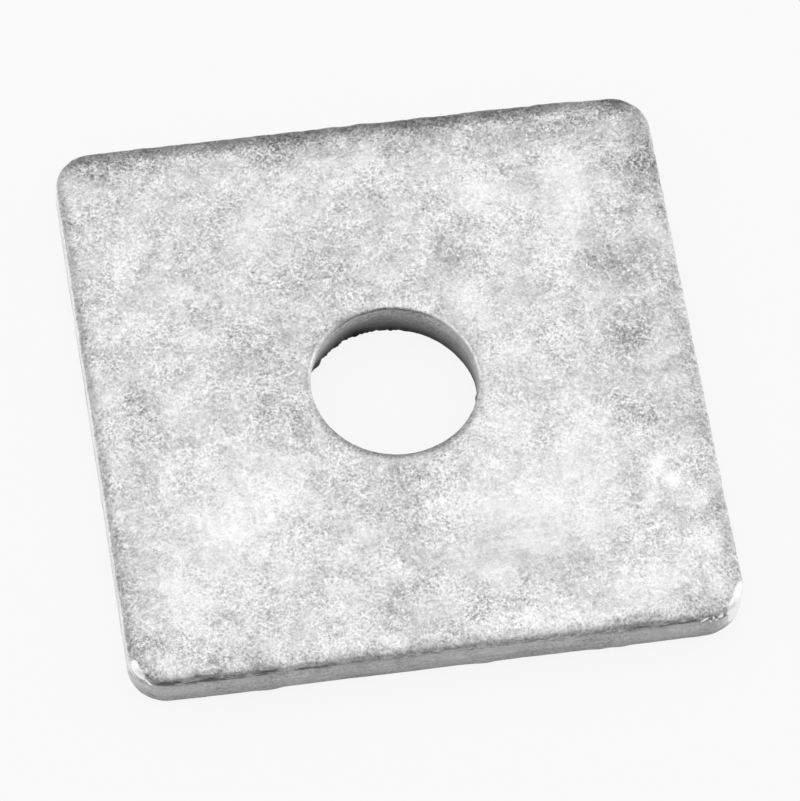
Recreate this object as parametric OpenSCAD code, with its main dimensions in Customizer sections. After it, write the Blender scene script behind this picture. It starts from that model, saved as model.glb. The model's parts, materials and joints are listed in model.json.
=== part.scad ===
// Square plate washer: one steel plate, blanked and punched in a press, then hot-dip galvanised.
// The origin is the centre of the lower face, and +Z runs up through the bolt hole. Millimetres.

/* [Plate] */
// Length of each side of the square
side = 40; // [24:1:120]
// Thickness over the zinc, on plate of 3 mm stock
thickness = 3.1; // [1.6:0.1:10]
// Plan radius of the four corners
corner_r = 2.5; // [1.4:0.1:10]

/* [Rolled upper edge] */
// Reach of the die roll in from the side, across the upper face
edge_roll_w = 1.4; // [0.7:0.1:2.4]
// Drop of the die roll down the side
edge_roll_d = 0.65; // [0.55:0.05:1.4]
// Radius of the tight lip where the die roll turns into the side
edge_lip_r = 0.5; // [0.1:0.05:0.6]

/* [Lower edge] */
// Radius of the zinc that rounds the lower edge of the sides
lower_edge_r = 0.5; // [0.1:0.05:1.5]

/* [Bolt hole] */
// Diameter of the hole, which clears an M10 bolt
hole_d = 11; // [5:0.5:24]
// Reach of the punch roll out from the hole, across the upper face
hole_roll_w = 0.6; // [0.3:0.05:2]
// Drop of the punch roll down the wall of the hole
hole_roll_d = 0.25; // [0.2:0.05:0.6]
// Radius of the tight lip where the punch roll turns into the wall
hole_lip_r = 0.15; // [0.05:0.05:0.2]
// Radius of the zinc that rounds the lower rim of the hole
lower_rim_r = 0.15; // [0.05:0.05:0.6]

/* [Hidden] */
$fn = 96;
// Distance from the centre of the plate to the centre of each corner
corner_at = side / 2 - corner_r;
hole_r = hole_d / 2;
// Overshoot of the hole's cutter past both faces
overshoot = 1;

// Radius of the shallow shoulder that leaves the flat face and runs on into the lip without a kink
function shoulder_r(reach, drop, lip) =
    ((reach - lip) ^ 2 + drop ^ 2 - lip ^ 2) / (2 * (drop - lip));

// Section of a rolled edge: it leaves the flat face at [0, 0] and meets the side at [reach, -drop]
module roll(reach, drop, lip) {
    shoulder = shoulder_r(reach, drop, lip);
    lip_centre = [reach - lip, -drop];
    shoulder_centre = [0, -shoulder];
    // The two arcs meet on the line through their centres
    along = (lip_centre - shoulder_centre) / norm(lip_centre - shoulder_centre);
    intersection() {
        translate([0, -drop]) square([reach, drop]);
        union() {
            translate(lip_centre) circle(lip);
            intersection() {
                translate(shoulder_centre) circle(shoulder);
                polygon([
                    shoulder_centre,
                    shoulder_centre + 2 * shoulder * along,
                    shoulder_centre + [0, 2 * shoulder]
                ]);
            }
        }
    }
}

// Section through the border of the plate, from the corner centres out to the side
module border_section() {
    square([corner_r - lower_edge_r, thickness - edge_roll_d]);
    translate([0, lower_edge_r]) square([corner_r, thickness - edge_roll_d - lower_edge_r]);
    translate([corner_r - lower_edge_r, lower_edge_r]) circle(lower_edge_r);
    square([corner_r - edge_roll_w, thickness]);
    translate([corner_r - edge_roll_w, thickness]) roll(edge_roll_w, edge_roll_d, edge_lip_r);
}

// One straight border with the round corner at its end
module border_and_corner() {
    translate([corner_at, corner_at]) rotate_extrude(angle = 90) border_section();
    translate([corner_at, corner_at]) rotate([90, 0, 0]) linear_extrude(2 * corner_at) border_section();
}

// The blank as the press leaves it, before the hole
module blank() {
    translate([-corner_at, -corner_at]) cube([2 * corner_at, 2 * corner_at, thickness]);
    for (turn = [0 : 90 : 270]) rotate(turn) border_and_corner();
}

// Half section of what is taken out at the hole, with the rolled rim above and the rounded rim below
module hole_section() {
    translate([0, -overshoot]) square([hole_r, thickness + 2 * overshoot]);
    difference() {
        translate([0, thickness - hole_roll_d]) square([hole_r + hole_roll_w, hole_roll_d + overshoot]);
        translate([hole_r + hole_roll_w, thickness]) mirror([1, 0]) roll(hole_roll_w, hole_roll_d, hole_lip_r);
    }
    difference() {
        translate([0, -overshoot]) square([hole_r + lower_rim_r, lower_rim_r + overshoot]);
        translate([hole_r + lower_rim_r, lower_rim_r]) circle(lower_rim_r);
    }
}

module plate_washer() {
    color("silver") difference() {
        blank();
        rotate_extrude() hole_section();
    }
}

plate_washer();
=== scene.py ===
"""Looks of a square plate washer: a punched steel plate under a skin of hot-dip zinc. Metres, +Z up."""

import json
import logging
import math
from collections.abc import Callable
from dataclasses import dataclass
from enum import Enum
from functools import partial
from itertools import pairwise
from typing import Any

import bmesh
import bpy
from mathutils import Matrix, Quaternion, Vector, noise


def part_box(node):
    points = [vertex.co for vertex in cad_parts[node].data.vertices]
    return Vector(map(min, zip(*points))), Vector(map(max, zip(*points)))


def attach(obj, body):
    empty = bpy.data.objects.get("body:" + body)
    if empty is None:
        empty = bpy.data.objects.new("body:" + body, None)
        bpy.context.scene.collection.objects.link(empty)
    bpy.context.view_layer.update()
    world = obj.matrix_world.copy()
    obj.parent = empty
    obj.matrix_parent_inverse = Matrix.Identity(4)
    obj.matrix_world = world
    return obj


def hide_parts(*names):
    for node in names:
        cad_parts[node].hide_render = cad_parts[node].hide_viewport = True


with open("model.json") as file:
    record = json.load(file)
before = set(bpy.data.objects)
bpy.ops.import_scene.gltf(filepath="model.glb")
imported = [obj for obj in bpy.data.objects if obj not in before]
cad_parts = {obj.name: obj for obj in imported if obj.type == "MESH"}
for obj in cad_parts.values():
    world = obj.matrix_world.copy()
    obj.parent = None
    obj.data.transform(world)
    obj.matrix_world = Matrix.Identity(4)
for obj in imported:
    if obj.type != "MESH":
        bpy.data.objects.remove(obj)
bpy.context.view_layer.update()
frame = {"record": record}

MM = 0.001
NODE = "plate_washer"
BODY = "root"

# Heights this near to each other, in metres, are one level, and points this near to each other are merged.
LEVEL_TOLERANCE = 1e-6
MERGE_DISTANCE = 1e-7

# Values that the washer's mesh holds at each point, for the finish to read.
LAYERS = ("tone", "rub", "shade", "band", "dark", "grime", "crease_mm", "rim_mm", "chip", "glint", "residue")

# Inputs of a Map Range node in their order, and the setting that makes it ease in and out.
RANGE = ("Value", "From Min", "From Max", "To Min", "To Max")
SMOOTH = {"interpolation_type": "SMOOTHSTEP"}

Pair = tuple[float, float]
Triple = tuple[float, float, float]
Stops = tuple[tuple[float, str], ...]

log = logging.getLogger("plate_washer")


class Pick(Enum):
    """What a selection in edit mode is made of."""

    EDGES = "EDGE"
    FACES = "FACE"


class Side(Enum):
    """The sides of the plate and its front corners, as the direction that each one faces."""

    FAR = (0.0, 1.0)
    NEAR = (0.0, -1.0)
    LEFT = (-1.0, 0.0)
    RIGHT = (1.0, 0.0)
    NEAR_LEFT = (-0.77, -0.64)
    NEAR_RIGHT = (0.64, -0.77)


def linear(hex_colour: str) -> tuple[float, float, float, float]:
    """Turns an sRGB hex colour into the linear colour that the nodes take.

    Args:
        hex_colour: the colour as #RRGGBB.

    Returns:
        Linear red, green and blue, and an alpha of 1.
    """
    channels = (int(hex_colour[start:start + 2], 16) / 255 for start in (1, 3, 5))
    red, green, blue = (c / 12.92 if c <= 0.04045 else ((c + 0.055) / 1.055) ** 2.4 for c in channels)
    return red, green, blue, 1.0


def smooth_fall(share: float) -> float:
    """Falls smoothly from 1 at the middle of a mark, share 0, to 0 at its border, share 1."""
    return (1 - min(share, 1.0) ** 2) ** 2


def add_node(
    tree: bpy.types.NodeTree,
    kind: str,
    settings: dict[str, Any] | None = None,
    inputs: dict[str | int, Any] | None = None,
) -> bpy.types.Node:
    """Adds a node, sets its fields, and fills its inputs with values or with links.

    Args:
        tree: the node tree that gets the node.
        kind: the node's type, without the leading ShaderNode.
        settings: fields of the node and their values.
        inputs: input sockets by name or number, each with a value, with the output socket to link from, or
            with the node whose first output is linked.

    Returns:
        The new node.
    """
    node = tree.nodes.new("ShaderNode" + kind)
    for name, value in (settings or {}).items():
        setattr(node, name, value)
    for key, value in (inputs or {}).items():
        if isinstance(value, bpy.types.Node):
            value = value.outputs[0]
        if isinstance(value, bpy.types.NodeSocket):
            tree.links.new(value, node.inputs[key])
        else:
            node.inputs[key].default_value = value
    return node


def set_stops(ramp: bpy.types.Node, stops: Stops) -> None:
    """Gives a colour ramp its stops.

    Args:
        ramp: the colour ramp node.
        stops: place from 0 to 1 and sRGB hex colour of each stop, in order.
    """
    elements = ramp.color_ramp.elements
    while len(elements) < len(stops):
        elements.new(1.0)
    for element, (place, colour) in zip(elements, stops):
        element.position = place
        element.color = linear(colour)


def select_only(piece: bpy.types.Object, pick: Pick, wanted: Callable[[Any], bool]) -> None:
    """Selects the edges or faces of a piece in edit mode that pass a test, and nothing else.

    Args:
        piece: the object in edit mode.
        pick: whether edges or faces are selected.
        wanted: the test, given each edge or face.
    """
    bpy.ops.mesh.select_mode(type=pick.value)
    bpy.ops.mesh.select_all(action="DESELECT")
    form = bmesh.from_edit_mesh(piece.data)
    for element in form.edges if pick is Pick.EDGES else form.faces:
        if wanted(element):
            element.select_set(True)
    bmesh.update_edit_mesh(piece.data)


@dataclass(frozen=True)
class RolledEdge:
    """Section of an edge that the press has rolled over, with a tight lip at the wall and a shallow shoulder.

    Attributes:
        reach: how far the roll runs in from the wall, across the face.
        drop: how far it falls from the face to the top of the wall.
        lip: radius of the lip.
        lip_steps: number of steps round the lip.
        shoulder_steps: number of steps along the shoulder.
    """

    reach: float
    drop: float
    lip: float
    lip_steps: int = 7
    shoulder_steps: int = 9

    def points(self) -> list[Pair]:
        """Lists the section from the wall to the face.

        Returns:
            Distance in from the wall, and height above the top of the wall, of each point.
        """
        run = self.reach - self.lip
        shoulder = (run ** 2 + self.drop ** 2 - self.lip ** 2) / (2 * (self.drop - self.lip))
        meet = math.asin(run / (shoulder - self.lip))
        section = []
        for step in range(self.lip_steps):
            turn = (math.pi / 2 - meet) * step / self.lip_steps
            section.append((self.lip * (1 - math.cos(turn)), self.lip * math.sin(turn)))
        for step in range(self.shoulder_steps + 1):
            tilt = meet * (1 - step / self.shoulder_steps)
            inwards = self.reach - shoulder * math.sin(tilt)
            section.append((inwards, self.drop - shoulder * (1 - math.cos(tilt))))
        return section


@dataclass(frozen=True)
class SkinMark:
    """A lump or nick in the zinc skin.

    Attributes:
        at: its middle, in millimetres.
        reach: how far it spreads, in millimetres.
        height: how far it stands out, or goes in if negative, in millimetres.
    """

    at: Triple
    reach: float
    height: float


@dataclass(frozen=True)
class Lean:
    """A stretch of the plate that the press left a little out of true.

    Attributes:
        at: its middle, in millimetres.
        reach: how far it spreads, in millimetres.
        move: how far its middle lies from its true place, in millimetres.
    """

    at: Triple
    reach: float
    move: Triple


@dataclass(frozen=True)
class ToneMark:
    """A soft patch on the upper face, such as a pale bloom or a dark stain.

    Attributes:
        at: its middle, in millimetres.
        half: half of its length and width, in millimetres.
        strength: how much paler, or darker if negative.
        turn: angle of its length from +X, in degrees.
    """

    at: Pair
    half: Pair
    strength: float
    turn: float = 0.0

    def weight(self, place: Vector) -> float:
        """Gives the mark's strength at a place.

        Args:
            place: the place, in millimetres.

        Returns:
            Strength there, which is 0 outside the mark.
        """
        dx, dy = place.x - self.at[0], place.y - self.at[1]
        if max(abs(dx), abs(dy)) > max(self.half):
            return 0.0
        angle = math.radians(self.turn)
        along = dx * math.cos(angle) + dy * math.sin(angle)
        across = dy * math.cos(angle) - dx * math.sin(angle)
        return self.strength * smooth_fall(math.hypot(along / self.half[0], across / self.half[1]))


@dataclass(frozen=True)
class Stroke:
    """A short mark drawn from one end to the other, such as a chip or a dash of residue.

    Attributes:
        start: one end, in millimetres.
        end: the other end, in millimetres.
        half: half of its width, in millimetres.
        strength: how strong it is along its middle.
    """

    start: Triple
    end: Triple
    half: float
    strength: float

    def weight(self, place: Vector) -> float:
        """Gives the stroke's strength at a place.

        Args:
            place: the place, in millimetres.

        Returns:
            Strength there, which is 0 beside the stroke.
        """
        if math.dist(place, self.start) > self.half + math.dist(self.start, self.end):
            return 0.0
        off = place - Vector(self.start)
        run = Vector(self.end) - Vector(self.start)
        share = min(max(off.dot(run) / run.length_squared, 0.0), 1.0)
        return self.strength * smooth_fall((off - run * share).length / self.half)


@dataclass(frozen=True)
class RimMark:
    """A stretch of the hole's rim with a painted highlight or painted shade.

    Attributes:
        middle: angle of its middle from +X, in degrees.
        half: half of its length, in degrees.
        strength: how bright or dark it is.
    """

    middle: float
    half: float
    strength: float

    def weight(self, place: Vector) -> float:
        """Gives the mark's strength at a place.

        Args:
            place: the place, in any unit.

        Returns:
            Strength there, which is 0 beyond the mark's ends.
        """
        angle = math.degrees(math.atan2(place.y, place.x))
        off = abs((angle - self.middle + 180) % 360 - 180)
        return self.strength * smooth_fall(off / self.half)


@dataclass(frozen=True)
class EdgeTone:
    """Painted light and shade along one side of the plate, and the residue in the crease below its lip.

    Attributes:
        side: the side.
        wall: how pale the sheared wall is painted for the light that falls on that side, as a share of the
            upper face.
        rise: how far the wall's tone runs up onto the lip, in millimetres.
        lip: how pale the lip of the rolled edge is painted, as a share of the upper face; below 1 it is
            painted shade.
        fade: how far in from the crease the lip's painted shade runs, in millimetres.
        grime: how much residue the crease below the lip holds, from 0 to 1.
        hold: how closely its tone keeps to its own stretch of the outline, against its neighbours' tones.
    """

    side: Side
    wall: float
    rise: float
    lip: float
    fade: float
    grime: float
    hold: float = 6.0

    def share(self, way: Vector) -> float:
        """Gives how much of this tone a stretch of the outline takes that faces a given way."""
        return max(way.dot(Vector(self.side.value)), 0.0) ** self.hold


@dataclass(frozen=True)
class SkinLayer:
    """One layer of waves in the zinc skin.

    Attributes:
        name: its name.
        grain_mm: length of its waves.
        height_mm: how far the skin rises and falls with them.
        on_border: whether only the plate's edges have it.
    """

    name: str
    grain_mm: float
    height_mm: float
    on_border: bool = False


@dataclass(frozen=True)
class Burr:
    """The ragged burr that the punch tore along the far side of the hole's lower rim.

    Attributes:
        middle_deg: angle of its middle from +X, in degrees.
        half_deg: half of its length, in degrees.
        height_mm: how far up the wall it reaches.
        depth_mm: how far its teeth stand into the hole.
        root: share of that depth that the burr has between its teeth.
        tooth_deg: length of the large teeth, in degrees.
        splinter_deg: length of the small teeth, in degrees.
        splinter_share: depth of the small teeth, as a share of the large ones'.
        splinter_row: row of the noise that the small teeth follow. The large ones follow row 0.
    """

    middle_deg: float = 108.0
    half_deg: float = 58.0
    height_mm: float = 0.5
    depth_mm: float = 0.16
    root: float = 0.35
    tooth_deg: float = 5.0
    splinter_deg: float = 2.0
    splinter_share: float = 0.5
    splinter_row: float = 7.0

    def depth_at(self, place: Vector) -> float:
        """Gives how far the burr stands into the hole at a place on its wall.

        Args:
            place: the place, in millimetres.

        Returns:
            The depth in millimetres, negative in a gap between two teeth.
        """
        angle = math.degrees(math.atan2(place.y, place.x))
        share = smooth_fall(abs(angle - self.middle_deg) / self.half_deg)
        share *= smooth_fall(place.z / self.height_mm)
        teeth = noise.noise(Vector((angle / self.tooth_deg, 0, 0)))
        splinters = noise.noise(Vector((angle / self.splinter_deg, self.splinter_row, 0)))
        return self.depth_mm * share * (self.root + teeth + self.splinter_share * splinters)


@dataclass(frozen=True)
class BoreLight:
    """How the light on the hole's wall varies round it, on top of the finish's shade by depth.

    Attributes:
        fade: how far from the middle to the near side this fades out, as a share of the radius.
        foot_from_mm: how deep the foot of the wall begins.
        foot_mm: how far below that the foot has its full tone.
        right: how much paler the right of the wall is.
        right_from: how far to the right it is as pale as that, as a share of the radius.
        right_foot: how much paler its foot is at the far right.
        right_hold: how closely the paler foot keeps to the far right.
        left: how much paler the far left of the wall is.
        left_foot: how much darker the foot is on the left.
        left_ends: over what shares of the radius that sets in from the middle and fades out at the far left.
    """

    fade: float = 0.5
    foot_from_mm: float = 1.0
    foot_mm: float = 1.5
    right: float = 0.22
    right_from: float = 0.5
    right_foot: float = 0.95
    right_hold: int = 4
    left: float = 0.7
    left_foot: float = 1.05
    left_ends: Pair = (0.3, 0.45)

    def share(self, way: Vector, depth: float) -> float:
        """Gives the share of the light that a place on the wall has.

        Args:
            way: direction of the place from the hole's axis, in plan and of length 1.
            depth: how far the place lies below the rim, in millimetres.

        Returns:
            The share, which is 1 on the near side.
        """
        far_side = min(max(1 + way.y / self.fade, 0.0), 1.0)
        foot = min(max(depth - self.foot_from_mm, 0.0) / self.foot_mm, 1.0)
        right, left = max(way.x, 0.0), max(-way.x, 0.0)
        paler = self.right * min(right / self.right_from, 1.0) + self.left * left
        paler += self.right_foot * right ** self.right_hold * foot
        inner, outer = self.left_ends
        darker = self.left_foot * min(left / inner, (1 - left) / outer, 1.0) * foot
        return 1 + far_side * (paler - darker)


# Waves in the zinc that set as it drained, and lumps along the edges.
ZINC_LAYERS = (
    SkinLayer("zinc_flow", 2.2, 0.05),
    SkinLayer("zinc_grain", 0.6, 0.02),
    SkinLayer("border_lumps", 0.9, 0.12, on_border=True),
)

# Single lumps on the walls, rims and corners, and a nick in the far edge.
SKIN_MARKS = (
    SkinMark((5.4, -0.6, 0.3), 0.5, 0.16),
    SkinMark((-4.4, 3.4, 0.2), 0.5, 0.12),
    SkinMark((-11.1, -20.0, 0.3), 1.1, 0.07),
    SkinMark((2.7, -20.0, 0.3), 1.0, 0.06),
    SkinMark((10.4, -20.0, 0.3), 0.9, 0.06),
    SkinMark((11.7, -20.0, 0.2), 0.9, 0.06),
    SkinMark((0.7, 19.8, 2.8), 0.8, 0.08),
    SkinMark((15.8, 19.7, 2.9), 0.5, -0.08),
    SkinMark((-19.5, -18.8, 2.5), 0.9, 0.10),
    SkinMark((19.3, -19.2, 2.5), 0.9, 0.08),
)

# Stretches of the edges and of the hole's lower rim that are out of true.
LEANS = (
    Lean((20.0, 20.0, 1.5), 7.0, (-0.03, -0.2, 0.0)),
    Lean((-14.0, -20.0, 0.5), 7.0, (0.0, -0.09, 0.0)),
    Lean((20.0, -16.0, 1.8), 5.5, (0.05, 0.0, 0.0)),
    Lean((18.9, -19.5, 0.8), 2.2, (-0.09, 0.1, 0.0)),
    Lean((-5.4, 1.1, 0.0), 2.5, (-0.32, 0.04, 0.0)),
    Lean((-4.66, 2.9, 0.0), 2.6, (-0.2, 0.1, 0.0)),
    Lean((-2.3, 5.0, 0.0), 2.6, (-0.05, 0.11, 0.0)),
    Lean((5.5, 0.6, 0.0), 2.6, (0.08, 0.0, 0.0)),
)

# Pale blooms, bright scuffs and dark stains on the upper face, and a band that is darker along the far edge.
TONE_MARKS = (
    ToneMark((13.6, 14.0), (3.6, 3.0), 0.19, 60),
    ToneMark((12.2, 9.4), (5.0, 2.0), 0.12, 62),
    ToneMark((8.2, 12.6), (3.6, 2.6), 0.18, -45),
    ToneMark((5.8, 15.0), (3.4, 2.6), 0.09, -40),
    ToneMark((-7.0, 13.2), (3.4, 5.0), 0.10),
    ToneMark((-2.0, 15.6), (4.0, 2.2), 0.05, -20),
    ToneMark((-16.6, 10.8), (1.8, 2.4), 0.14),
    ToneMark((6.2, 4.6), (3.6, 1.8), 0.15, -55),
    ToneMark((-12.8, 0.8), (2.2, 2.2), 0.06),
    ToneMark((-14.3, -4.5), (2.8, 2.2), 0.10),
    ToneMark((-9.4, -7.2), (3.2, 3.0), 0.16),
    ToneMark((-12.5, -9.6), (4.2, 3.6), 0.17),
    ToneMark((-15.9, -14.2), (2.4, 5.2), 0.17),
    ToneMark((-11.5, -10.0), (9.0, 9.0), 0.045),
    ToneMark((-6.8, -15.4), (2.8, 2.2), 0.06),
    ToneMark((-6.4, -18.4), (4.0, 1.8), 0.08),
    ToneMark((6.8, -4.6), (3.2, 4.6), 0.15),
    ToneMark((11.4, -6.4), (3.2, 5.0), 0.13),
    ToneMark((7.0, -10.0), (8.0, 2.8), 0.18),
    ToneMark((17.6, -15.0), (2.4, 2.6), 0.12),
    ToneMark((14.4, -16.8), (4.4, 2.2), 0.10, 30),
    ToneMark((16.4, -9.0), (2.0, 2.4), 0.10),
    ToneMark((11.0, -12.0), (10.0, 8.0), 0.05),
    ToneMark((7.0, -19.0), (7.0, 2.0), 0.15),
    ToneMark((16.0, -8.5), (1.4, 0.75), 0.46, 68),
    ToneMark((15.2, -11.0), (1.3, 0.7), 0.16, 60),
    ToneMark((16.75, -9.75), (1.1, 0.85), 0.38, -15),
    ToneMark((18.3, -11.6), (1.0, 0.6), 0.26, 60),
    ToneMark((12.6, -16.0), (0.7, 0.5), 0.34, 50),
    # Darker along the whole far edge.
    ToneMark((0.0, 19.6), (34.0, 3.4), -0.10),
    ToneMark((4.4, 18.2), (4.4, 2.2), -0.16),
    ToneMark((-16.4, 18.2), (4.4, 2.2), -0.19),
    ToneMark((-4.4, 18.2), (3.6, 1.8), -0.18),
    ToneMark((-18.5, -10.5), (1.6, 6.0), -0.13),
    ToneMark((-18.5, 10.5), (1.6, 3.5), -0.12),
    ToneMark((18.6, 17.4), (1.6, 3.2), -0.17),
    ToneMark((14.6, 17.6), (5.0, 2.2), -0.17),
    ToneMark((19.0, 13.6), (3.0, 5.0), -0.20),
    ToneMark((15.4, 1.2), (2.2, 4.6), -0.10),
    ToneMark((15.8, 6.6), (4.4, 2.6), -0.17),
    ToneMark((17.2, -5.4), (3.4, 2.4), -0.15),
    ToneMark((17.4, 1.5), (4.6, 12.0), -0.07),
    ToneMark((9.8, -1.6), (2.0, 2.4), 0.12),
    ToneMark((11.2, 4.0), (1.6, 1.6), 0.12),
    ToneMark((6.9, 0.9), (1.8, 2.2), 0.14),
    ToneMark((4.7, -6.8), (2.6, 1.8), 0.12),
    ToneMark((2.4, -11.4), (2.0, 1.8), 0.10),
    ToneMark((-9.8, -3.7), (1.8, 1.8), 0.09),
    ToneMark((-17.5, -4.7), (2.0, 2.0), -0.09),
    ToneMark((-17.5, -13.0), (1.4, 2.0), -0.08),
    ToneMark((14.0, 16.3), (1.8, 1.4), -0.08),
    ToneMark((-7.0, -1.9), (2.0, 2.4), -0.17),
    ToneMark((-8.4, 1.2), (3.2, 4.0), -0.10),
    ToneMark((-7.4, 4.2), (3.4, 3.4), -0.06),
    ToneMark((-2.9, 9.4), (3.2, 1.9), -0.13),
    ToneMark((-5.4, 7.6), (2.8, 2.8), -0.09),
    ToneMark((5.2, 9.0), (2.2, 3.2), -0.15, 15),
    ToneMark((-0.8, -7.2), (3.0, 2.2), -0.13),
    ToneMark((-0.7, -10.6), (2.0, 4.0), -0.10),
    ToneMark((-4.8, -7.2), (2.6, 2.2), -0.07),
    ToneMark((-17.0, -1.6), (2.2, 6.4), -0.06),
    ToneMark((-14.6, 9.0), (2.0, 2.8), -0.06),
    ToneMark((-12.2, 13.0), (2.4, 2.4), -0.05),
    ToneMark((8.8, -15.3), (3.4, 2.0), -0.12),
    ToneMark((3.8, -13.6), (3.0, 1.6), -0.06),
    ToneMark((-1.4, -17.2), (2.6, 3.4), -0.10),
    ToneMark((-10.0, -16.4), (2.4, 3.0), -0.06),
    ToneMark((-13.0, -19.2), (3.8, 2.0), -0.16),
    ToneMark((-19.2, -17.0), (1.8, 3.2), -0.14),
    ToneMark((18.0, -19.2), (3.0, 2.0), -0.12),
    ToneMark((19.4, -12.3), (1.0, 1.5), -0.2),
    ToneMark((19.6, -14.8), (1.0, 2.4), -0.16),
)

# Where handling has rubbed the upper face smooth.
RUBBED = (
    ToneMark((6.0, -13.2), (8.5, 3.4), 0.9, 4),
    ToneMark((8.6, -9.4), (8.0, 4.0), 0.35, 4),
    ToneMark((-12.5, -10.5), (5.0, 5.0), 0.6),
    ToneMark((13.5, 12.5), (3.6, 5.0), 0.5),
)

# Chips down to bright metal at the corners and along the edges, and painted highlights among them.
CHIPS_AND_HIGHLIGHTS = (
    # Front left corner: a chipped spot with a painted highlight on it.
    Stroke((-19.62, -18.3, 2.68), (-19.3, -19.15, 2.62), 0.5, 1.0),
    Stroke((-19.0, -19.5, 2.45), (-18.8, -19.65, 2.3), 0.26, 0.8),
    # Painted highlight on the facet of the front right corner, and painted glints beside it.
    Stroke((18.95, -19.55, 2.6), (19.75, -18.1, 2.7), 0.72, 1.0),
    Stroke((19.5, -18.9, 1.35), (19.95, -17.8, 1.35), 1.75, 1.0),
    Stroke((16.95, -20.0, 2.45), (17.35, -19.92, 2.75), 0.17, 0.7),
    Stroke((17.45, -20.0, 2.25), (17.75, -19.92, 2.72), 0.18, 0.7),
    Stroke((17.8, -20.0, 2.15), (18.05, -19.9, 2.68), 0.18, 0.7),
    Stroke((18.2, -19.95, 2.5), (18.3, -19.7, 2.85), 0.17, 0.75),
    Stroke((15.8, 19.95, 2.7), (15.8, 19.6, 3.0), 0.15, 0.7),
)

# Dashes of dark residue along the edges, at the corners and in the hole.
RESIDUES = (
    Stroke((-18.7, -19.65, 2.55), (-16.9, -19.95, 2.62), 0.35, 0.7),
    Stroke((-15.9, -19.8, 2.85), (-14.1, -19.95, 2.65), 0.32, 0.7),
    Stroke((-17.8, -19.9, 2.7), (-11.1, -19.95, 2.7), 0.6, 0.45),
    Stroke((-9.2, -20.0, 2.5), (-7.6, -20.0, 2.5), 0.17, 0.9),
    Stroke((11.5, -20.0, 2.65), (18.6, -19.9, 2.65), 0.45, 0.3),
    Stroke((14.2, -20.0, 2.5), (15.0, -20.0, 2.5), 0.2, 0.7),
    Stroke((18.2, -19.95, 2.5), (18.9, -19.7, 2.5), 0.22, 0.8),
    Stroke((-19.4, -18.6, 2.95), (-18.8, -19.5, 2.8), 0.25, 0.6),
    Stroke((19.6, 13.0, 3.0), (19.7, 16.0, 3.0), 0.4, 0.3),
    Stroke((2.3, 5.0, 2.3), (2.2, 5.04, 1.3), 0.6, 0.28),
    Stroke((-19.93, -18.1, 1.25), (-19.2, -19.32, 2.12), 0.2, 1.0),
    Stroke((-18.85, -19.6, 0.9), (-18.7, -19.68, 0.7), 0.25, 0.8),
)

# Stretches of the hole's rim that carry a painted highlight.
RIM_GLINTS = (
    RimMark(158.0, 52.0, 1.0),
    RimMark(22.0, 46.0, 0.85),
)

# Painted shade on the upper face beside the hole's rim: round the near side, and beside the painted
# highlights.
RIM_SHADES = (
    RimMark(-90.0, 130.0, 0.44),
    RimMark(122.0, 40.0, 0.34),
    RimMark(165.0, 40.0, 0.26),
    RimMark(18.0, 52.0, 0.28),
)

# Painted light and shade of the four sides and of the front corners, and the residue in their creases.
EDGE_TONES = (
    EdgeTone(Side.FAR, wall=0.6, rise=0.0, lip=0.52, fade=2.35, grime=0.1),
    EdgeTone(Side.NEAR, wall=0.6, rise=0.0, lip=0.74, fade=1.6, grime=0.74),
    EdgeTone(Side.LEFT, wall=1.22, rise=0.12, lip=0.74, fade=1.1, grime=0.0),
    EdgeTone(Side.RIGHT, wall=1.1, rise=0.3, lip=0.95, fade=1.4, grime=0.0),
    EdgeTone(Side.NEAR_LEFT, wall=0.72, rise=0.0, lip=0.74, fade=1.3, grime=0.4, hold=20.0),
    EdgeTone(Side.NEAR_RIGHT, wall=1.1, rise=0.2, lip=1.0, fade=1.2, grime=0.0, hold=20.0),
)


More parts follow.
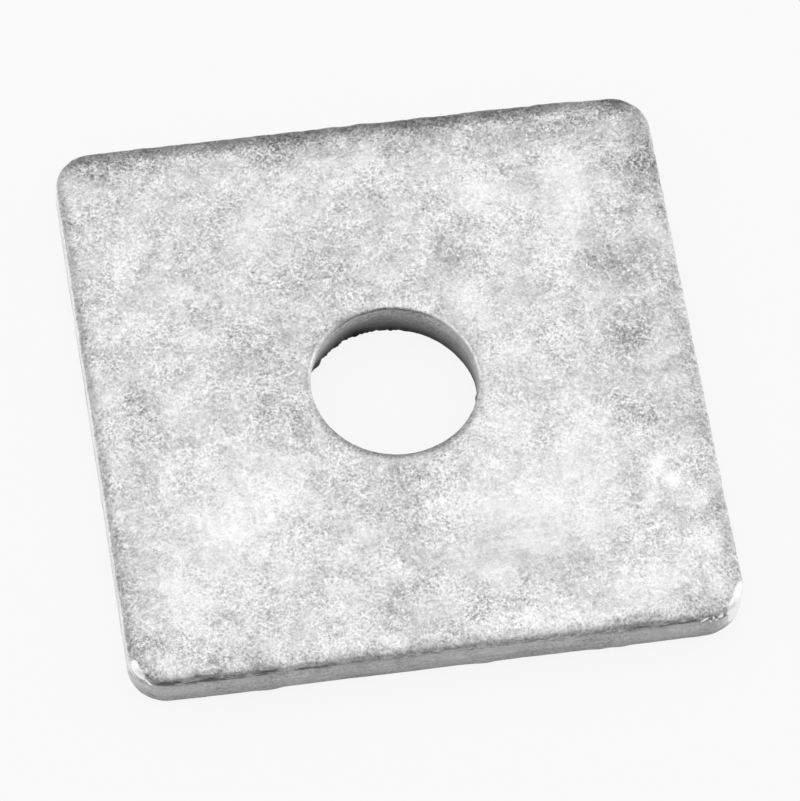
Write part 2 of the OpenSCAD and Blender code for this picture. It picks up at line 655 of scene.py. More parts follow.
@dataclass(frozen=True)
class HotDipZinc:
    """Hot-dip galvanised zinc that has dulled to a matt patina.

    The zinc set as a bright metal and weathered to a thin, pale, mineral skin. It gives the eye a matt silver
    grey with clouds of white bloom, grey flecks where the bloom is thin, and dark residue in the creases.

    A name that ends in mm is a size in millimetres, and one in per_mm counts the waves of a pattern in a
    millimetre. A gain is how strongly a pattern shows in the tone, and a border is the stretch of a noise in
    which a pattern sets in.
    """

    # Tone and colour of a bare pit, thin bloom, plain zinc, bloom and white bloom, then the colour of residue
    # and that of fresh metal in a chipped spot, which the painted highlights share.
    tone_stops: Stops = (
        (0.00, "#5C5C5C"),
        (0.30, "#A4A4A4"),
        (0.55, "#D0D0D0"),
        (0.75, "#E8E8E8"),
        (1.00, "#FCFCFC"),
    )
    residue: str = "#626262"
    chip: str = "#FFFFFF"

    # Most of the skin still answers light as a metal does, and it is a little rougher where it is paler.
    metallic: float = 0.85
    rough_tones: Pair = (0.2, 1.0)
    roughness: Pair = (0.46, 0.58)
    chip_and_highlight_roughness: float = 0.5
    bump_strength: float = 0.3
    bump_mm: float = 0.02

    # Tone of the plain zinc, from 0 in a pit to 1 in white bloom, and the clouds and patches about it.
    level: float = 0.66
    cloud_mm: float = 2.6
    cloud_gain: float = 0.62
    patch_mm: float = 1.7
    patch_gain: float = 0.14
    patch_border: Pair = (0.44, 0.58)

    # Speckle that is crisp in some places and soft in others, with flecks and pale veins in it. A vein runs
    # where its noise is within vein_half of the middle, which is about vein_share of the skin.
    speckle_mm: float = 0.19
    speckle_gain: float = 0.91
    grain_mm: float = 3.2
    grain_border: Pair = (0.36, 0.64)
    crispness: Pair = (0.6, 1.3)
    fleck_mm: float = 0.3
    fleck_border: Pair = (0.62, 0.74)
    dark_fleck_gain: float = 0.11
    white_fleck_gain: float = 0.24
    vein_mm: float = 0.62
    vein_half: float = 0.046
    vein_gain: float = 0.32
    vein_share: float = 0.25

    # Rubbing leaves some of the speckle and draws scratches. Shearing drew streaks down the plainer walls.
    rub_left: float = 0.35
    scratch_gain: float = 0.5
    scratch_turn_deg: float = 1.0
    scratch_per_mm: Triple = (0.14, 4.0, 1.0)
    streak_gain: float = 0.7
    streak_per_mm: Triple = (0.12, 0.12, 4.5)
    plain_share: float = 0.65
    wall_border_mm: Pair = (-0.1, 0.2)

    # The lip's band of painted shade, and the hole's painted shade by depth below its rim, plain and where
    # the rim is highlighted.
    band_wander: float = -0.8
    band_border: Pair = (0.12, 0.9)
    bore_wander_mm: float = 0.25
    bore_stops: Stops = (
        (-0.10, "#FFFFFF"),
        (-0.03, "#B4B4B4"),
        (0.04, "#686868"),
        (0.14, "#A0A0A0"),
        (0.30, "#BCBCBC"),
        (0.60, "#B4B4B4"),
        (1.00, "#9C9C9C"),
        (1.70, "#767676"),
        (2.40, "#383838"),
        (2.75, "#181818"),
    )
    highlit_bore_stops: Stops = (
        (-0.10, "#FFFFFF"),
        (0.02, "#D8D8D8"),
        (0.30, "#BEBEBE"),
        (0.90, "#AEAEAE"),
        (1.70, "#7B7B7B"),
        (2.40, "#3A3A3A"),
        (2.75, "#181818"),
    )

    # The painted highlight round the rim, a thin bright line: how far out it lies, its wander and width, and
    # where it breaks up.
    glint_out_mm: float = 0.15
    glint_wander_mm: float = 0.14
    glint_half_mm: Pair = (0.05, 0.12)
    glint_border: Pair = (0.38, 0.54)
    glint_least: float = 0.35

    # Ragged borders of the chipped spots and painted highlights.
    chip_and_highlight_wander: float = 0.4
    chip_and_highlight_border: Pair = (0.32, 0.62)

    # The line of residue along the crease: how far below it the line starts, how far it wanders up from
    # there, its speckle and its width. Dashes are what it breaks up into.
    residue_drop_mm: float = 0.03
    residue_wander_mm: float = 0.3
    residue_speckle_mm: float = 0.15
    residue_half_mm: Pair = (0.12, 0.4)
    dash_stretch: Triple = (0.5, 0.5, 2.5)
    dash_per_mm: float = 1.5
    dash_border: Pair = (0.38, 0.6)
    dash_least: float = 0.15

    def material(self) -> bpy.types.Material:
        """Makes the zinc material.

        Returns:
            The material, which reads the attributes that the washer's mesh holds.
        """
        material = bpy.data.materials.new("hot_dip_zinc")
        material.use_nodes = True
        tree = material.node_tree
        tree.nodes.clear()
        pattern = ZincPattern(self, tree)
        tone = pattern.tone()
        ramp = add_node(tree, "ValToRGB", None, {"Fac": tone})
        set_stops(ramp, self.tone_stops)
        shaded = add_node(tree, "MixRGB", {"blend_type": "MULTIPLY"}, {0: 1.0, 1: ramp, 2: pattern.shade()})
        soiled = add_node(tree, "MixRGB", None, {0: pattern.residue(), 1: shaded, 2: linear(self.residue)})
        # White where the metal is chipped, and painted highlights on the corners and round the rim.
        chips_and_highlights = pattern.chips_and_highlights()
        bright = add_node(tree, "Math", {"operation": "MAXIMUM"}, {0: chips_and_highlights, 1: pattern.rim_glint()})
        colour = add_node(tree, "MixRGB", None, {0: bright, 1: soiled, 2: linear(self.chip)})
        rough = add_node(tree, "MapRange", None, dict(zip(RANGE, (tone, *self.rough_tones, *self.roughness))))
        rough = add_node(
            tree, "MapRange", None, dict(zip(RANGE, (chips_and_highlights, 0.0, 1.0, rough, self.chip_and_highlight_roughness)))
        )
        bump = add_node(tree, "Bump", None, {
            "Strength": self.bump_strength, "Distance": self.bump_mm * MM, "Height": pattern.speckle,
        })
        surface = add_node(tree, "BsdfPrincipled", None, {
            "Base Color": colour, "Metallic": self.metallic, "Roughness": rough, "Normal": bump,
        })
        add_node(tree, "OutputMaterial", None, {"Surface": surface})
        return material


class ZincPattern:
    """The patterns of the zinc, drawn with the nodes of one material.

    Attributes:
        finish: the finish, with the sizes and strengths of the patterns.
        add: adds a node to the material.
        layer: the values that the washer's mesh holds, by name.
        millimetres: the place on the piece, in millimetres.
        speckle: fine speckle, about 0.5.
        ragged: ragged patches, about 0.5.
        wander: both of them together, about 0.
    """

    def __init__(self, finish: HotDipZinc, tree: bpy.types.NodeTree) -> None:
        """Draws what all the patterns share.

        Args:
            finish: the finish.
            tree: the material's empty node tree.
        """
        self.finish = finish
        self.add = partial(add_node, tree)
        self.layer: dict[str, bpy.types.NodeSocket] = {
            name: self.add("Attribute", {"attribute_name": name}).outputs["Fac"] for name in LAYERS
        }
        place = self.add("TexCoord").outputs["Object"]
        self.millimetres = self.add("VectorMath", {"operation": "SCALE"}, {0: place, "Scale": 1 / MM})
        self.speckle = self.add("TexNoise", None, {
            "Vector": self.millimetres, "Scale": 1 / finish.speckle_mm, "Detail": 1.0, "Roughness": 0.7,
        })
        self.ragged = self.add("TexNoise", None, {
            "Vector": self.millimetres, "Scale": 1 / finish.patch_mm, "Detail": 6.0, "Roughness": 0.75,
        })
        both = self.add("Math", {"operation": "ADD"}, {0: self.ragged, 1: self.speckle})
        self.wander = self.add("Math", {"operation": "SUBTRACT"}, {0: both, 1: 1.0})

    def tone(self) -> bpy.types.Node:
        """Adds up the clouds, the grain, the painted marks, the scratches and the streaks.

        Returns:
            The tone, from 0 in a pit to 1 in white bloom.
        """
        add, finish, crease = self.add, self.finish, self.layer["crease_mm"]
        below = add("Math", {"operation": "MAXIMUM"}, {0: crease, 1: self.layer["rim_mm"]})
        border = finish.wall_border_mm
        on_wall = add("MapRange", SMOOTH, dict(zip(RANGE, (below, *border, 0.0, 1.0))))
        mottled = add("MapRange", SMOOTH, dict(zip(RANGE, (crease, *border, 1.0, finish.plain_share))))
        total = add("Math", {"operation": "ADD"}, {0: self.clouds(), 1: self.grain()})
        level = add("Math", {"operation": "ADD"}, {0: self.layer["tone"], 1: finish.level})
        total = add("Math", {"operation": "MULTIPLY_ADD"}, {0: total, 1: mottled, 2: level})
        for share, per_mm, turn_deg, gain in (
            (self.layer["rub"], finish.scratch_per_mm, finish.scratch_turn_deg, finish.scratch_gain),
            (on_wall, finish.streak_per_mm, 0.0, finish.streak_gain),
        ):
            drawn_out = add("Mapping", {"vector_type": "TEXTURE"}, {
                "Vector": self.millimetres,
                "Rotation": (0.0, 0.0, math.radians(turn_deg)),
                "Scale": tuple(1 / count for count in per_mm),
            })
            lines = add("TexNoise", None, {
                "Vector": drawn_out, "Scale": 1.0, "Detail": 3.0, "Roughness": 0.7,
            })
            centred = add("Math", {"operation": "SUBTRACT"}, {0: lines, 1: 0.5})
            strength = add("Math", {"operation": "MULTIPLY"}, {0: share, 1: gain})
            total = add("Math", {"operation": "MULTIPLY_ADD"}, {0: centred, 1: strength, 2: total})
        return total

    def clouds(self) -> bpy.types.Node:
        """Draws the soft clouds of bloom, and patches of it with ragged borders.

        Returns:
            The clouds' tone, about 0.
        """
        cloud, patch = self.finish.cloud_gain, self.finish.patch_gain
        soft = self.add("TexNoise", None, {
            "Vector": self.millimetres, "Scale": 1 / self.finish.cloud_mm, "Detail": 4.0, "Roughness": 0.82,
        })
        patches = self.add("MapRange", SMOOTH, dict(zip(RANGE, (
            self.ragged, *self.finish.patch_border, -(patch + cloud) / 2, (patch - cloud) / 2,
        ))))
        return self.add("Math", {"operation": "MULTIPLY_ADD"}, {0: soft, 1: cloud, 2: patches})

    def grain(self) -> bpy.types.Node:
        """Draws the speckle with its dark and white flecks, and the veins.

        Returns:
            The grain's tone, about 0.
        """
        add, finish = self.add, self.finish
        soft = add("TexNoise", None, {
            "Vector": self.millimetres, "Scale": 1 / finish.grain_mm, "Detail": 2.0, "Roughness": 0.6,
        })
        gains = (share * finish.speckle_gain for share in finish.crispness)
        crisp = add("MapRange", None, dict(zip(RANGE, (soft, *finish.grain_border, *gains))))
        kept = add("MapRange", None, dict(zip(RANGE, (self.layer["rub"], 0.0, 1.0, 1.0, finish.rub_left))))
        gain = add("Math", {"operation": "MULTIPLY"}, {0: crisp, 1: kept})
        centred = add("Math", {"operation": "SUBTRACT"}, {0: self.speckle, 1: 0.5})
        total = add("Math", {"operation": "MULTIPLY"}, {0: centred, 1: gain})
        for seed, strength in ((1.0, -finish.dark_fleck_gain), (2.0, finish.white_fleck_gain)):
            flecks = add("TexNoise", {"noise_dimensions": "4D"}, {
                "Vector": self.millimetres, "W": seed, "Scale": 1 / finish.fleck_mm, "Detail": 1.0,
            })
            few = add("MapRange", SMOOTH, dict(zip(RANGE, (flecks, *finish.fleck_border, 0.0, strength))))
            total = add("Math", {"operation": "MULTIPLY_ADD"}, {0: few, 1: kept, 2: total})
        curls = add("TexNoise", None, {
            "Vector": self.millimetres,
            "Scale": 1 / finish.vein_mm,
            "Detail": 2.0,
            "Roughness": 0.6,
            "Distortion": 0.6,
        })
        off = add("Math", {"operation": "SUBTRACT"}, {0: curls, 1: 0.5})
        away = add("Math", {"operation": "ABSOLUTE"}, {0: off})
        vein, between = (1 - finish.vein_share) * finish.vein_gain, -finish.vein_share * finish.vein_gain
        veins = add("MapRange", SMOOTH, dict(zip(RANGE, (away, 0.0, finish.vein_half, vein, between))))
        return add("Math", {"operation": "MULTIPLY_ADD"}, {0: veins, 1: gain, 2: total})

    def shade(self) -> bpy.types.Node:
        """Paints the light and shade of the walls, the shade of the hole by its depth, and the shade of the
        lip of the rolled edge as far as a ragged border.

        Returns:
            The share of the light that is left.
        """
        add, finish, layer = self.add, self.finish, self.layer
        uneven = add("Math", {"operation": "MULTIPLY_ADD"}, {
            0: self.wander, 1: finish.band_wander, 2: layer["band"],
        })
        reach = add("MapRange", SMOOTH, dict(zip(RANGE, (uneven, *finish.band_border, 0.0, 1.0))))
        lost = add("Math", {"operation": "MULTIPLY"}, {0: reach, 1: layer["dark"]})
        left = add("Math", {"operation": "SUBTRACT"}, {0: 1.0, 1: lost})
        outside = add("Math", {"operation": "MULTIPLY"}, {0: left, 1: layer["shade"]})
        wavy = add("Math", {"operation": "MULTIPLY_ADD"}, {
            0: self.wander, 1: finish.bore_wander_mm, 2: layer["rim_mm"],
        })
        top, bottom = finish.bore_stops[0][0], finish.bore_stops[-1][0]
        down = add("MapRange", None, dict(zip(RANGE, (wavy, top, bottom, 0.0, 1.0))))
        plain, highlit_bore = (add("ValToRGB", None, {"Fac": down}) for _ in range(2))
        for ramp, stops in ((plain, finish.bore_stops), (highlit_bore, finish.highlit_bore_stops)):
            set_stops(ramp, tuple(((place - top) / (bottom - top), colour) for place, colour in stops))
        # Where the rim has its painted highlight, the hole's painted shade has no dark line below the rim.
        bore = add("MixRGB", None, {0: layer["glint"], 1: plain, 2: highlit_bore})
        return add("Math", {"operation": "MULTIPLY"}, {0: outside, 1: bore})

    def rim_glint(self) -> bpy.types.Node:
        """Draws the painted highlight, a thin, broken, bright line round the rim of the hole.

        Returns:
            1 on the line, and 0 beside it.
        """
        add, finish, layer = self.add, self.finish, self.layer
        wavy = add("Math", {"operation": "MULTIPLY_ADD"}, {
            0: self.speckle, 1: finish.glint_wander_mm, 2: layer["rim_mm"],
        })
        middle = finish.glint_out_mm - finish.glint_wander_mm / 2
        off = add("Math", {"operation": "ADD"}, {0: wavy, 1: middle})
        away = add("Math", {"operation": "ABSOLUTE"}, {0: off})
        line = add("MapRange", SMOOTH, dict(zip(RANGE, (away, *finish.glint_half_mm, 1.0, 0.0))))
        broken = add("MapRange", SMOOTH, dict(zip(RANGE, (
            self.ragged, *finish.glint_border, finish.glint_least, 1.0,
        ))))
        held = add("Math", {"operation": "MULTIPLY"}, {0: layer["glint"], 1: broken})
        return add("Math", {"operation": "MULTIPLY"}, {0: line, 1: held})

    def chips_and_highlights(self) -> bpy.types.Node:
        """Gives the chipped spots and the painted highlights ragged borders.

        Returns:
            1 inside them, and 0 outside.
        """
        uneven = self.add("Math", {"operation": "MULTIPLY_ADD"}, {
            0: self.wander, 1: self.finish.chip_and_highlight_wander, 2: self.layer["chip"],
        })
        return self.add("MapRange", SMOOTH, dict(zip(RANGE, (uneven, *self.finish.chip_and_highlight_border, 0.0, 1.0))))

    def residue(self) -> bpy.types.Node:
        """Draws the uneven line of dark residue along the crease below the lip, and the painted dashes.

        Returns:
            How much residue there is, from 0 to 1.
        """
        add, finish, layer = self.add, self.finish, self.layer
        wavy = add("Math", {"operation": "MULTIPLY_ADD"}, {
            0: self.ragged, 1: finish.residue_wander_mm, 2: layer["crease_mm"],
        })
        off = add("Math", {"operation": "SUBTRACT"}, {0: wavy, 1: finish.residue_drop_mm})
        off = add("Math", {"operation": "ABSOLUTE"}, {0: off})
        away = add("Math", {"operation": "MULTIPLY_ADD"}, {
            0: self.speckle, 1: finish.residue_speckle_mm, 2: off,
        })
        line = add("MapRange", SMOOTH, dict(zip(RANGE, (away, *finish.residue_half_mm, 1.0, 0.0))))
        drawn_out = add("VectorMath", {"operation": "MULTIPLY"}, {
            0: self.millimetres, 1: finish.dash_stretch,
        })
        pits = add("TexNoise", None, {
            "Vector": drawn_out, "Scale": finish.dash_per_mm, "Detail": 4.0, "Roughness": 0.75,
        })
        broken = add("MapRange", SMOOTH, dict(zip(RANGE, (
            pits, *finish.dash_border, finish.dash_least, 1.0,
        ))))
        held = add("Math", {"operation": "MULTIPLY"}, {0: line, 1: layer["grime"]})
        held = add("Math", {"operation": "ADD"}, {0: held, 1: layer["residue"]})
        return add("Math", {"operation": "MULTIPLY", "use_clamp": True}, {0: held, 1: broken})


@dataclass(frozen=True)
class StudioPaper:
    """Matt white paper under soft light, which looks evenly pale and keeps a faint shadow under the plate.

    Attributes:
        paper: colour of the paper.
        glow: how bright the even light is that the paper gives to the camera and to reflections.
        glow_share: how much of the paper's look is that light.
    """

    paper: str = "#F4F4F4"
    glow: float = 0.96
    glow_share: float = 0.92

    def material(self) -> bpy.types.Material:
        """Makes the paper material.

        Returns:
            The material, pale to the camera and in reflections, and plain paper to all other light.
        """
        material = bpy.data.materials.new("studio_paper")
        material.use_nodes = True
        tree = material.node_tree
        tree.nodes.clear()
        rays = add_node(tree, "LightPath").outputs
        seen = add_node(
            tree, "Math", {"operation": "MAXIMUM"}, {0: rays["Is Camera Ray"], 1: rays["Is Glossy Ray"]}
        )
        seen = add_node(tree, "Math", {"operation": "MAXIMUM"}, {0: seen, 1: rays["Is Transmission Ray"]})
        share = add_node(tree, "Math", {"operation": "MULTIPLY"}, {0: seen, 1: self.glow_share})
        matt = add_node(tree, "BsdfDiffuse", None, {"Color": linear(self.paper)})
        glow = add_node(tree, "Emission", None, {"Strength": self.glow})
        mixed = add_node(tree, "MixShader", None, {0: share, 1: matt, 2: glow})
        add_node(tree, "OutputMaterial", None, {"Surface": mixed})
        return material


@dataclass
class PlateWasher:
    """The plate: a rounded square blank with a rolled upper edge, a punched hole and a skin of zinc.

    Attributes:
        side: length of each side.
        thickness: thickness over the zinc.
        hole_r: radius of the bolt hole.
        corner_r: plan radius of the corners.
        edge: section of the rolled upper edge.
        lower_edge_r: radius of the zinc round the lower edge.
        rim: section of the rolled upper rim of the hole.
        lower_rim_r: radius of the zinc round the lower rim of the hole.
        burr: the burr at that rim.
        bore_light: how the light varies round the hole's wall.
        corner_steps: number of steps round each corner.
        straight_parts: number of parts of each straight side.
        part_steps: number of steps in each of those parts.
        side_steps: number of steps down the sides.
        round_steps: number of steps round the lower edge and the lower rim.
        wall_steps: number of steps down the hole's wall.
        upper_steps: number of steps across the upper face to the hole.
        lower_steps: number of steps across the lower face to the hole.
        face_margin: width of the flat strip inside the rolled edge.
        border_reach_mm: how far from the crease the lumps of the edges run.
        wall_blend_mm: how far above the crease the wall's painted light and shade fades out.
        foot_mm: height of the painted shade along the foot of the sides, next to the floor.
        foot_shade: how much darker that painted shade makes the foot.
        rim_shade_from_mm: how far out from the rim the painted shade round the hole begins.
        rim_shade_reach_mm: how far out from the rim it fades out.
        glint_reach_mm: how far from the rim its painted highlight is laid on the mesh.
        piece: the object that is being built.
    """

    side: float
    thickness: float
    hole_r: float
    corner_r: float = 2.5 * MM
    edge: RolledEdge = RolledEdge(1.4 * MM, 0.65 * MM, 0.5 * MM)
    lower_edge_r: float = 0.5 * MM
    rim: RolledEdge = RolledEdge(0.6 * MM, 0.25 * MM, 0.15 * MM, 4, 5)
    lower_rim_r: float = 0.15 * MM
    burr: Burr = Burr()
    bore_light: BoreLight = BoreLight()
    corner_steps: int = 20
    straight_parts: int = 4
    part_steps: int = 43
    side_steps: int = 10
    round_steps: int = 5
    wall_steps: int = 12
    upper_steps: int = 46
    lower_steps: int = 9
    face_margin: float = 0.4 * MM
    border_reach_mm: float = 3.2
    wall_blend_mm: float = 0.2
    foot_mm: float = 1.6
    foot_shade: float = 0.34
    rim_shade_from_mm: float = 0.1
    rim_shade_reach_mm: float = 0.85
    glint_reach_mm: float = 1.0
    piece: bpy.types.Object | None = None

    @property
    def crease_z(self) -> float:
        """Height of the crease where the rolled edge meets the side."""
        return self.thickness - self.edge.drop

    @property
    def outline_steps(self) -> int:
        """Number of points round the plate, and round the hole."""
        return 4 * (self.corner_steps + self.straight_parts * self.part_steps)

    def build(self) -> bpy.types.Object:
        """Models the washer.

        Returns:
            The finished piece, at the origin.
        """
        self.lay_out_blank()
        self.shear_sides()
        self.roll_upper_edge()
        self.round_lower_edge()
        self.punch_hole()
        self.close_faces()
        bpy.ops.object.mode_set(mode="OBJECT")
        self.paint()
        self.lay_zinc()
        self.press_marks()
        self.tear_lower_rim()
        self.settle()
        bpy.ops.object.shade_smooth()
        return self.piece

    def lay_out_blank(self) -> None:
        """Draws the rounded square outline of the blank at the height of the crease."""
        bpy.ops.object.select_all(action="DESELECT")
        bpy.ops.mesh.primitive_plane_add(size=self.side, location=(0, 0, self.crease_z))
        bpy.ops.object.transform_apply(location=True, rotation=False, scale=False)
        self.piece = bpy.context.object
        self.piece.name = "zinc_plate_washer"
        bpy.ops.object.mode_set(mode="EDIT")
        bpy.ops.mesh.bevel(
            offset_type="OFFSET",
            offset=self.corner_r,
            segments=self.corner_steps,
            profile=0.5,
            affect="VERTICES",
        )
        bpy.ops.mesh.delete(type="ONLY_FACE")
        select_only(self.piece, Pick.EDGES, lambda edge: edge.calc_length() > self.corner_r)
        bpy.ops.mesh.subdivide(number_cuts=self.straight_parts - 1)
        bpy.ops.mesh.subdivide(number_cuts=self.part_steps - 1)
        bpy.ops.mesh.select_all(action="SELECT")
        bpy.ops.mesh.edge_face_add()

    def shear_sides(self) -> None:
        """Extrudes the blank down to the start of the lower edge, and divides its sides."""
        height = self.crease_z - self.lower_edge_r
        bpy.ops.mesh.select_mode(type="FACE")
        bpy.ops.mesh.extrude_region_move(TRANSFORM_OT_translate={"value": (0, 0, -height)})
        select_only(
            self.piece, Pick.EDGES, lambda edge: abs(edge.verts[0].co.z - edge.verts[1].co.z) > height / 2
        )
        bpy.ops.mesh.subdivide(number_cuts=self.side_steps - 1)
        bpy.ops.mesh.select_all(action="SELECT")
        bpy.ops.mesh.normals_make_consistent(inside=False)

    def inset_along(self, level: float, section: list[Pair]) -> None:
        """Insets the plate's upper or lower face along a section.

        Args:
            level: height of the face before the first step.
            section: distance in from the side, and height out of the face, of each point.
        """
        select_only(
            self.piece, Pick.FACES,
            lambda face: len(face.verts) == self.outline_steps
            and abs(face.verts[0].co.z - level) < LEVEL_TOLERANCE,
        )
        for (near_in, near_up), (far_in, far_up) in pairwise(section):
            bpy.ops.mesh.inset(thickness=far_in - near_in, depth=far_up - near_up, use_even_offset=True)

    def roll_upper_edge(self) -> None:
        """Rolls the upper edge over, up to the flat of the upper face, which is left open."""
        section = self.edge.points()
        section.append((self.edge.reach + self.face_margin, self.edge.drop))
        self.inset_along(self.crease_z, section)
        bpy.ops.mesh.delete(type="ONLY_FACE")

    def round_lower_edge(self) -> None:
        """Rounds the lower edge, down to the flat of the lower face, which is left open."""
        radius = self.lower_edge_r
        turns = [math.pi / 2 * step / self.round_steps for step in range(self.round_steps + 1)]
        section = [(radius * (1 - math.cos(turn)), radius * math.sin(turn)) for turn in turns]
        section.append((self.edge.reach, radius))
        self.inset_along(self.lower_edge_r, section)
        bpy.ops.mesh.delete(type="ONLY_FACE")

    def punch_hole(self) -> None:
        """Draws the hole's upper rim and extrudes it down the wall to the lower rim."""
        wall_top = self.thickness - self.rim.drop
        profile = [(self.hole_r + inwards, wall_top + up) for inwards, up in reversed(self.rim.points())]
        wall = wall_top - self.lower_rim_r
        for step in range(1, self.wall_steps + 1):
            profile.append((self.hole_r, wall_top - wall * step / self.wall_steps))
        for step in range(1, self.round_steps + 1):
            turn = math.pi / 2 * step / self.round_steps
            out = self.lower_rim_r * (1 - math.cos(turn))
            profile.append((self.hole_r + out, self.lower_rim_r * (1 - math.sin(turn))))
        bpy.ops.mesh.select_mode(type="EDGE")
        bpy.ops.mesh.select_all(action="DESELECT")
        bpy.ops.mesh.primitive_circle_add(
            vertices=self.outline_steps, radius=profile[0][0], location=(0, 0, profile[0][1])
        )
        for (last_r, last_z), (next_r, next_z) in pairwise(profile):
            bpy.ops.mesh.extrude_region_move(TRANSFORM_OT_translate={"value": (0, 0, next_z - last_z)})
            scale = next_r / last_r
            bpy.ops.transform.resize(value=(scale, scale, 1), center_override=(0, 0, next_z))

    def close_faces(self) -> None:
        """Bridges the open upper and lower faces from border to hole, and turns all faces outwards."""
        for level, steps in ((self.thickness, self.upper_steps), (0.0, self.lower_steps)):
            select_only(
                self.piece, Pick.EDGES,
                lambda edge: len(edge.link_faces) == 1
                and all(abs(vert.co.z - level) < LEVEL_TOLERANCE for vert in edge.verts),
            )
            bpy.ops.mesh.bridge_edge_loops(type="SINGLE", number_cuts=steps - 1, interpolation="LINEAR")
        bpy.ops.mesh.select_all(action="SELECT")
        bpy.ops.mesh.remove_doubles(threshold=MERGE_DISTANCE)
        bpy.ops.mesh.normals_make_consistent(inside=False)

    def inset_of(self, point: Vector) -> float:
        """Measures how far a point lies in from the plate's outline.

        Args:
            point: the point.

        Returns:
            The distance in, in metres.
        """
        corner_at = self.side / 2 - self.corner_r
        beyond = Vector((abs(point.x) - corner_at, abs(point.y) - corner_at))
        outside = Vector((max(beyond.x, 0.0), max(beyond.y, 0.0))).length
        return self.corner_r - outside - min(max(beyond.x, beyond.y), 0.0)

    def facing(self, point: Vector) -> Vector:
        """Finds which way the outline nearest to a point faces.

        Args:
            point: the point.

        Returns:
            The direction in plan, of length 1.
        """
        corner_at = self.side / 2 - self.corner_r
        beyond = Vector((abs(point.x) - corner_at, abs(point.y) - corner_at))
        if min(beyond) > 0:
            way = beyond.normalized()
        else:
            way = Vector((1, 0)) if beyond.x > beyond.y else Vector((0, 1))
        return Vector((math.copysign(way.x, point.x), math.copysign(way.y, point.y)))

    def keep(self, name: str, values: list[float]) -> None:
        """Keeps one value for each point of the mesh, for the finish to read."""
        self.piece.data.attributes.new(name, "FLOAT", "POINT").data.foreach_set("value", values)

    def drop_below_crease(self, point: Vector) -> float:
        """Measures how far a point lies below the crease of the outer edge, along the section.

        Args:
            point: the point.

        Returns:
            The distance in millimetres, negative above the crease and in the hole.
        """
        drop = self.crease_z - point.z
        in_hole = math.hypot(point.x, point.y) < self.hole_r + self.rim.reach
        return math.copysign(math.hypot(self.inset_of(point), drop), -1 if in_hole else drop) / MM

    def drop_below_rim(self, point: Vector) -> float:
        """Measures how far a point lies below the upper rim of the hole, along the section.

        Args:
            point: the point.

        Returns:
            The distance in millimetres, negative on the upper face and outside the hole.
        """
        out = math.hypot(point.x, point.y) - self.hole_r
        drop = self.thickness - self.rim.drop - point.z
        return math.copysign(math.hypot(out, drop), drop if out < self.rim.reach else -1) / MM

    def edge_layers(self, point: Vector) -> dict[str, float]:
        """Works out the painted light and shade of the outer edge at a point, and the residue in its crease.

        Args:
            point: the point.

        Returns:
            Values of the layers shade, band, dark and grime.
        """
        drop = self.drop_below_crease(point)
        # Painted shade along the foot of the sides, next to the floor.
        foot = 1 - self.foot_shade * smooth_fall(point.z / MM / self.foot_mm)
        way = self.facing(point)
        shares = [edge.share(way) for edge in EDGE_TONES]
        layers = {"shade": 0.0, "band": 0.0, "dark": 0.0, "grime": 0.0}
        for edge, share in zip(EDGE_TONES, shares):
            part = share / sum(shares)
            above = max(-drop - edge.rise, 0.0)
            on_wall = smooth_fall(above / self.wall_blend_mm)
            layers["shade"] += part * (1 + (edge.wall * foot - 1) * on_wall)
            layers["band"] += part * smooth_fall(above / edge.fade) * (1 - on_wall)
            layers["dark"] += part * (1 - edge.lip)
            layers["grime"] += part * edge.grime
        return layers

    def hole_shade(self, point: Vector) -> float:
        """Works out how the shade in and around the hole varies round it.

        Args:
            point: the point.

        Returns:
            The share of the light that is left, on top of the finish's shade by depth.
        """
        depth = self.drop_below_rim(point)
        # Painted shade on the face beside the rim; on the hole's wall, its painted light round the hole.
        if depth < -self.rim_shade_from_mm:
            rim_shade = max(mark.weight(point) for mark in RIM_SHADES)
            return 1 - rim_shade * smooth_fall(-depth / self.rim_shade_reach_mm)
        return self.bore_light.share(Vector((point.x, point.y)).normalized(), depth)

    def rim_glint(self, point: Vector) -> float:
        """Works out how strong the painted highlight on the hole's rim is at a point.

        Args:
            point: the point.

        Returns:
            The strength, which is 0 away from the rim.
        """
        if abs(self.drop_below_rim(point)) > self.glint_reach_mm:
            return 0.0
        return sum(mark.weight(point) for mark in RIM_GLINTS)

    def paint(self) -> None:
        """Paints the layers that the finish reads onto the mesh."""
        layers: dict[str, list[float]] = {name: [] for name in LAYERS}
        for vertex in self.piece.data.vertices:
            point, place = vertex.co, vertex.co / MM
            values = self.edge_layers(point)
            values["shade"] *= self.hole_shade(point)
            values["crease_mm"] = self.drop_below_crease(point)
            values["rim_mm"] = self.drop_below_rim(point)
            on_face = point.z > self.crease_z
            values["tone"] = sum(mark.weight(place) for mark in TONE_MARKS) if on_face else 0.0
            values["rub"] = sum(mark.weight(place) for mark in RUBBED) if on_face else 0.0
            values["chip"] = sum(stroke.weight(place) for stroke in CHIPS_AND_HIGHLIGHTS)
            values["glint"] = self.rim_glint(point)
            values["residue"] = sum(stroke.weight(place) for stroke in RESIDUES)
            for name in LAYERS:
                layers[name].append(values[name])
        for name, column in layers.items():
            self.keep(name, column)

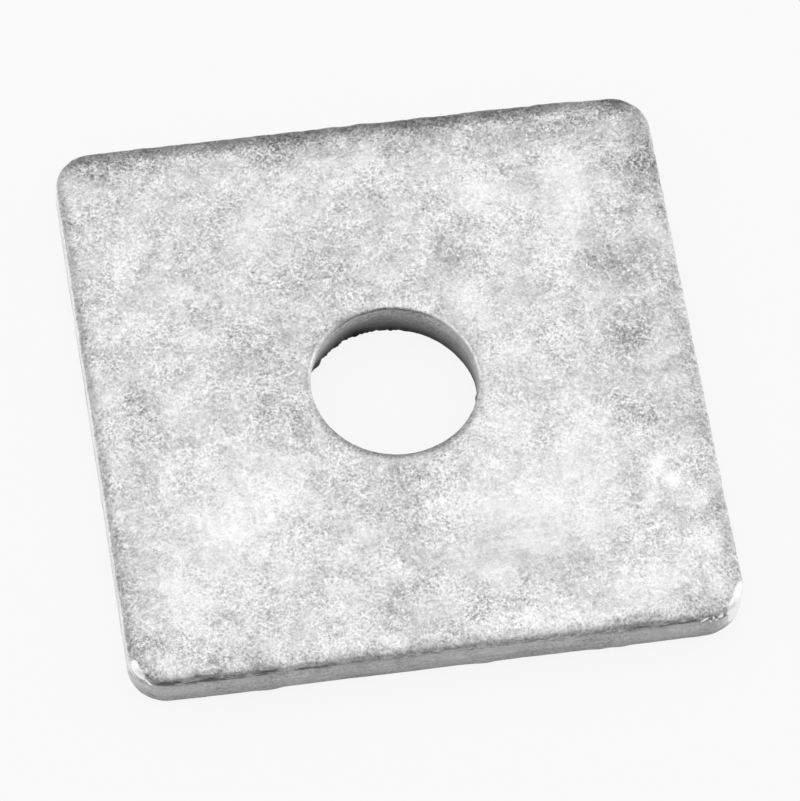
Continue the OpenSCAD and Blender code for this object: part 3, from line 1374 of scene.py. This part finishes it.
    def lay_zinc(self) -> None:
        """Gives the skin the flow and grain of zinc that set as it drained, and the edges their lumps."""
        border = "plate_border"
        group = self.piece.vertex_groups.new(name=border)
        for vertex in self.piece.data.vertices:
            weight = smooth_fall(abs(self.drop_below_crease(vertex.co)) / self.border_reach_mm)
            if weight > 0:
                group.add([vertex.index], weight, "REPLACE")
        for layer in ZINC_LAYERS:
            texture = bpy.data.textures.new(layer.name, "CLOUDS")
            texture.noise_scale = layer.grain_mm * MM
            texture.noise_depth = 2
            skin = self.piece.modifiers.new(layer.name, "DISPLACE")
            skin.texture = texture
            skin.texture_coords = "LOCAL"
            skin.strength = layer.height_mm * MM
            skin.mid_level = 0.5
            skin.vertex_group = border if layer.on_border else ""
            bpy.ops.object.modifier_apply(modifier=layer.name)

    def press_marks(self) -> None:
        """Raises the lumps, presses the nicks and leans the stretches that are out of true."""
        mesh = self.piece.data
        normals = [vertex.normal.copy() for vertex in mesh.vertices]
        for vertex, normal in zip(mesh.vertices, normals):
            place = vertex.co / MM
            for mark in SKIN_MARKS:
                share = math.dist(place, mark.at) / mark.reach
                if share < 1:
                    vertex.co += normal * mark.height * MM * smooth_fall(share)
            for lean in LEANS:
                share = math.dist(place, lean.at) / lean.reach
                if share < 1:
                    vertex.co += Vector(lean.move) * MM * smooth_fall(share)

    def tear_lower_rim(self) -> None:
        """Leaves the burr along the hole's lower rim."""
        reach = self.hole_r + 2 * self.lower_rim_r
        for vertex in self.piece.data.vertices:
            point = vertex.co
            if math.hypot(point.x, point.y) <= reach and point.z <= self.burr.height_mm * MM:
                point.xy -= point.xy.normalized() * self.burr.depth_at(point / MM) * MM

    def settle(self) -> None:
        """Keeps the lower face from sinking below the floor that the plate lies on."""
        for vertex in self.piece.data.vertices:
            vertex.co.z = max(vertex.co.z, 0.0)

    def dress(self) -> None:
        """Gives the piece its zinc and sets it in the frame in place of the bare plate."""
        self.piece.data.materials.append(HotDipZinc().material())
        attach(self.piece, BODY)
        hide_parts(NODE)


@dataclass(frozen=True)
class SoftBox:
    """A soft box that faces the middle of the floor.

    Attributes:
        name: its name.
        at: its middle, in metres.
        size: its width and height, in metres.
        level: how bright its face is, where 1 is white.
    """

    name: str
    at: Triple
    size: Pair
    level: float

    def build(self) -> None:
        """Hangs the soft box."""
        bpy.ops.object.light_add(type="AREA", location=self.at)
        box = bpy.context.object
        box.name = self.name
        box.data.shape = "RECTANGLE"
        box.data.size, box.data.size_y = self.size
        box.data.energy = self.level * math.pi * self.size[0] * self.size[1]
        box.rotation_euler = (-Vector(self.at)).to_track_quat("-Z", "Y").to_euler()


@dataclass
class Studio:
    """The floor, the soft boxes, and the plain light of the room.

    Attributes:
        floor_size: length of the floor's sides.
        floor_gap: how far the floor lies below the plate.
        boxes: the soft boxes.
        room: colour of the room's light.
    """

    floor_size: float = 4.0
    floor_gap: float = 0.02 * MM
    boxes: tuple[SoftBox, ...] = (
        SoftBox("overhead_box", (0.0, 0.04, 0.5), (0.7, 0.84), 0.95),
        SoftBox("left_box", (-0.6, 0.15, 0.25), (0.7, 0.5), 0.8),
        SoftBox("right_box", (0.6, 0.15, 0.25), (0.7, 0.5), 0.8),
    )
    room: str = "#ABABAB"

    def build(self) -> None:
        """Sets out the floor and the lights."""
        bpy.ops.mesh.primitive_plane_add(size=self.floor_size, location=(0, 0, -self.floor_gap))
        floor = bpy.context.object
        floor.name = "studio_floor"
        floor.data.materials.append(StudioPaper().material())
        for box in self.boxes:
            box.build()
        world = bpy.data.worlds.new("plain_room")
        bpy.context.scene.world = world
        world.use_nodes = True
        world.node_tree.nodes["Background"].inputs["Color"].default_value = linear(self.room)


@dataclass
class PhotoCamera:
    """The camera, at the photograph's viewing angle.

    Attributes:
        at_mm: its place, in millimetres.
        forward: the way it looks.
        roll_deg: how far it is rolled about that way, in degrees.
        lens_mm: its focal length.
        sensor_mm: width of its sensor.
    """

    at_mm: Triple = (-49.43, -219.82, 393.545)
    forward: Triple = (0.110049, 0.484862, -0.867639)
    roll_deg: float = 4.54
    lens_mm: float = 309.94
    sensor_mm: float = 36.0

    def build(self) -> None:
        """Sets the camera up and makes it the scene's camera."""
        bpy.ops.object.camera_add(location=Vector(self.at_mm) * MM)
        camera = bpy.context.object
        camera.name = "photo_camera"
        camera.data.lens = self.lens_mm
        camera.data.sensor_width = self.sensor_mm
        camera.data.clip_start = 1 * MM
        level = Vector(self.forward).to_track_quat("-Z", "Y")
        camera.rotation_mode = "QUATERNION"
        camera.rotation_quaternion = level @ Quaternion((0, 0, 1), math.radians(self.roll_deg))
        bpy.context.scene.camera = camera


def main() -> None:
    """Builds the washer and its studio."""
    logging.basicConfig(level=logging.INFO, format="%(name)s: %(message)s")
    low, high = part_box(NODE)
    hole = next(mount for mount in frame["record"]["mounts"] if mount["kind"] == "bore")
    washer = PlateWasher(
        side=high.x - low.x, thickness=high.z - low.z, hole_r=hole["dims"]["r_mm"] * MM
    )
    piece = washer.build()
    washer.dress()
    log.info("%s: %d faces", piece.name, len(piece.data.polygons))
    PhotoCamera().build()
    Studio().build()
    bpy.context.scene.view_settings.view_transform = "Standard"


if __name__ == "__main__":
    main()
